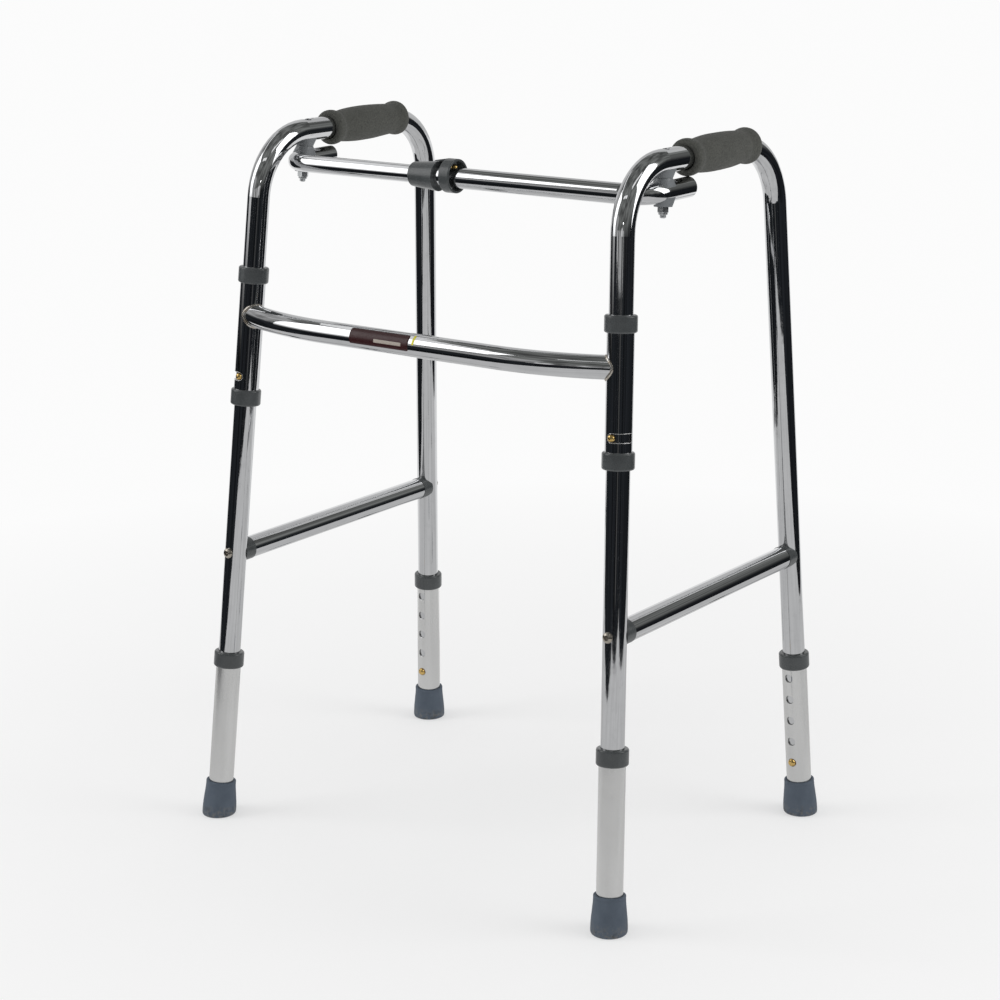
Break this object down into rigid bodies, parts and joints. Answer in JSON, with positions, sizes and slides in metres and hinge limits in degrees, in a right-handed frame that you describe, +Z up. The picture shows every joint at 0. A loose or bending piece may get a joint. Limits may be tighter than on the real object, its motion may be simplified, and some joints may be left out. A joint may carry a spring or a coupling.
{
  "type": "folding walking frame",
  "caption": "Folding walking frame of bright aluminium tube with foam grips, height-adjustable legs on rubber feet, a curved crossbar and a telescopic locking bar.",
  "frame": {"origin": "on the floor at the centre of the four feet", "axes": "+Z up; the front, with the crossbar, faces -Y; the open side where the person stands is +Y; -X is the left when looking from the front of the frame towards +Y"},
  "size_m": [0.5946, 0.4403, 0.8079],
  "materials": {
    "polished_tube": "mirror-polished and bright-anodised aluminium tube",
    "satin_tube": "satin anodised aluminium tube",
    "weld_bead": "polished-over weld bead",
    "collar_plastic": "moulded grey plastic, slight gloss",
    "saddle_plastic": "moulded mid-grey plastic",
    "grip_foam": "closed-cell foam, fine open texture",
    "foot_rubber": "moulded blue-grey rubber",
    "button_brass": "brass-coloured snap button",
    "zinc_steel": "bright zinc-plated steel",
    "nickel_screw": "nickel-plated steel",
    "spring_steel": "oiled spring steel strip",
    "label_film": "printed film with a clear coat, no lettering"
  },
  "bodies": {
    "front_frame": {"crossbar": "polished_tube", "crossbar_welds": "weld_bead", "crossbar_label": "label_film", "sleeve_left": "polished_tube", "sleeve_collar_lower_left": "collar_plastic", "sleeve_collar_upper_left": "collar_plastic", "sleeve_right": "polished_tube", "sleeve_collar_lower_right": "collar_plastic", "sleeve_collar_upper_right": "collar_plastic"},
    "left_side": {"side_tube_left": "polished_tube", "grip_left": "grip_foam", "stretcher_left": "polished_tube", "stretcher_cap_front_left": "collar_plastic", "stretcher_cap_rear_left": "collar_plastic", "stretcher_screws_left": "nickel_screw", "saddle_upper_left": "saddle_plastic", "bar_bolt_left": "zinc_steel", "bar_nut_left": "zinc_steel", "bolt_spacer_left": "zinc_steel", "button_springs_left": "spring_steel"},
    "right_side": {"side_tube_right": "polished_tube", "grip_right": "grip_foam", "stretcher_right": "polished_tube", "stretcher_cap_front_right": "collar_plastic", "stretcher_cap_rear_right": "collar_plastic", "stretcher_screws_right": "nickel_screw", "saddle_upper_right": "saddle_plastic", "bar_bolt_right": "zinc_steel", "bar_nut_right": "zinc_steel", "bolt_spacer_right": "zinc_steel", "button_springs_right": "spring_steel"},
    "front_left_extension": {"extension_front_left": "satin_tube", "extension_collar_front_left": "collar_plastic", "ferrule_front_left": "foot_rubber"},
    "rear_left_extension": {"extension_rear_left": "satin_tube", "extension_collar_rear_left": "collar_plastic", "ferrule_rear_left": "foot_rubber"},
    "front_right_extension": {"extension_front_right": "satin_tube", "extension_collar_front_right": "collar_plastic", "ferrule_front_right": "foot_rubber"},
    "rear_right_extension": {"extension_rear_right": "satin_tube", "extension_collar_rear_right": "collar_plastic", "ferrule_rear_right": "foot_rubber"},
    "front_left_button": {"leg_button_front_left": "button_brass"},
    "rear_left_button": {"leg_button_rear_left": "button_brass"},
    "left_sleeve_button": {"sleeve_button_left": "button_brass"},
    "front_right_button": {"leg_button_front_right": "button_brass"},
    "rear_right_button": {"leg_button_rear_right": "button_brass"},
    "right_sleeve_button": {"sleeve_button_right": "button_brass"},
    "bar_left": {"bar_inner_tube": "polished_tube", "saddle_middle_left": "saddle_plastic", "saddle_lower_left": "saddle_plastic", "bar_spring": "spring_steel"},
    "bar_right": {"bar_outer_tube": "polished_tube", "bar_collar": "collar_plastic", "saddle_middle_right": "saddle_plastic", "saddle_lower_right": "saddle_plastic"},
    "bar_button": {"bar_button": "button_brass"},
    "release_ring": {"release_ring": "collar_plastic"}
  },
  "joints": [
    {"name": "fold_left", "type": "hinge", "parent": "front_frame", "child": "left_side", "pos_m": [-0.2775, -0.2003, 0], "axis": [-0.046, -0.0958, -0.9943], "range_deg": [0, 38]},
    {"name": "fold_right", "type": "hinge", "parent": "front_frame", "child": "right_side", "pos_m": [0.2775, -0.2003, 0], "axis": [-0.046, 0.0958, 0.9943], "range_deg": [0, 38]},
    {"name": "bar_left_pivot", "type": "hinge", "parent": "left_side", "child": "bar_left", "pos_m": [-0.24245, -0.054, 0.757], "axis": [0.046, 0.0958, 0.9943], "range_deg": [0, 38]},
    {"name": "bar_right_pivot", "type": "hinge", "parent": "right_side", "child": "bar_right", "pos_m": [0.24245, -0.054, 0.757], "axis": [0.046, -0.0958, -0.9943], "range_deg": [0, 38]},
    {"name": "extend_front_left", "type": "slide", "parent": "left_side", "child": "front_left_extension", "axis": [-0.046, -0.0958, -0.9943], "range_m": [0, 0.104]},
    {"name": "extend_rear_left", "type": "slide", "parent": "left_side", "child": "rear_left_extension", "axis": [-0.0462, 0.0444, -0.9979], "range_m": [0, 0.104]},
    {"name": "extend_front_right", "type": "slide", "parent": "right_side", "child": "front_right_extension", "axis": [0.046, -0.0958, -0.9943], "range_m": [0, 0.104]},
    {"name": "extend_rear_right", "type": "slide", "parent": "right_side", "child": "rear_right_extension", "axis": [0.0462, 0.0444, -0.9979], "range_m": [0, 0.104]},
    {"name": "press_front_left", "type": "slide", "parent": "left_side", "child": "front_left_button", "axis": [0.0044, -0.9954, 0.0957], "range_m": [0, 0.0043], "stiffness_N_per_m": 900, "springref_m": -0.001, "deforming": ["button_springs_left"]},
    {"name": "press_rear_left", "type": "slide", "parent": "left_side", "child": "rear_left_button", "axis": [0.0021, 0.999, 0.0444], "range_m": [0, 0.0043], "stiffness_N_per_m": 900, "springref_m": -0.001, "deforming": ["button_springs_left"]},
    {"name": "press_sleeve_left", "type": "slide", "parent": "left_side", "child": "left_sleeve_button", "axis": [-0.0044, 0.9954, -0.0957], "range_m": [0, 0.0043], "stiffness_N_per_m": 900, "springref_m": -0.001, "deforming": ["button_springs_left"]},
    {"name": "press_front_right", "type": "slide", "parent": "right_side", "child": "front_right_button", "axis": [-0.0044, -0.9954, 0.0957], "range_m": [0, 0.0043], "stiffness_N_per_m": 900, "springref_m": -0.001, "deforming": ["button_springs_right"]},
    {"name": "press_rear_right", "type": "slide", "parent": "right_side", "child": "rear_right_button", "axis": [-0.0021, 0.999, 0.0444], "range_m": [0, 0.0043], "stiffness_N_per_m": 900, "springref_m": -0.001, "deforming": ["button_springs_right"]},
    {"name": "press_sleeve_right", "type": "slide", "parent": "right_side", "child": "right_sleeve_button", "axis": [0.0044, 0.9954, -0.0957], "range_m": [0, 0.0043], "stiffness_N_per_m": 900, "springref_m": -0.001, "deforming": ["button_springs_right"]},
    {"name": "ring_pull", "type": "slide", "parent": "bar_right", "child": "release_ring", "axis": [0, 0, 1], "range_m": [-0.0043, 0], "stiffness_N_per_m": 900, "springref_m": 0.001, "deforming": ["bar_spring"]},
    {"name": "bar_button_press", "type": "slide", "parent": "bar_right", "child": "bar_button", "axis": [0, 0, 1], "range_m": [-0.0043, 0], "stiffness_N_per_m": 900, "springref_m": 0.001, "deforming": ["bar_spring"]}
  ],
  "couplings": [
    {"joint": "fold_right", "follows": "fold_left", "ratio": 1},
    {"joint": "bar_left_pivot", "follows": "fold_left", "ratio": 1},
    {"joint": "bar_right_pivot", "follows": "fold_left", "ratio": 1},
    {"joint": "bar_button_press", "follows": "ring_pull", "ratio": 1}
  ]
}
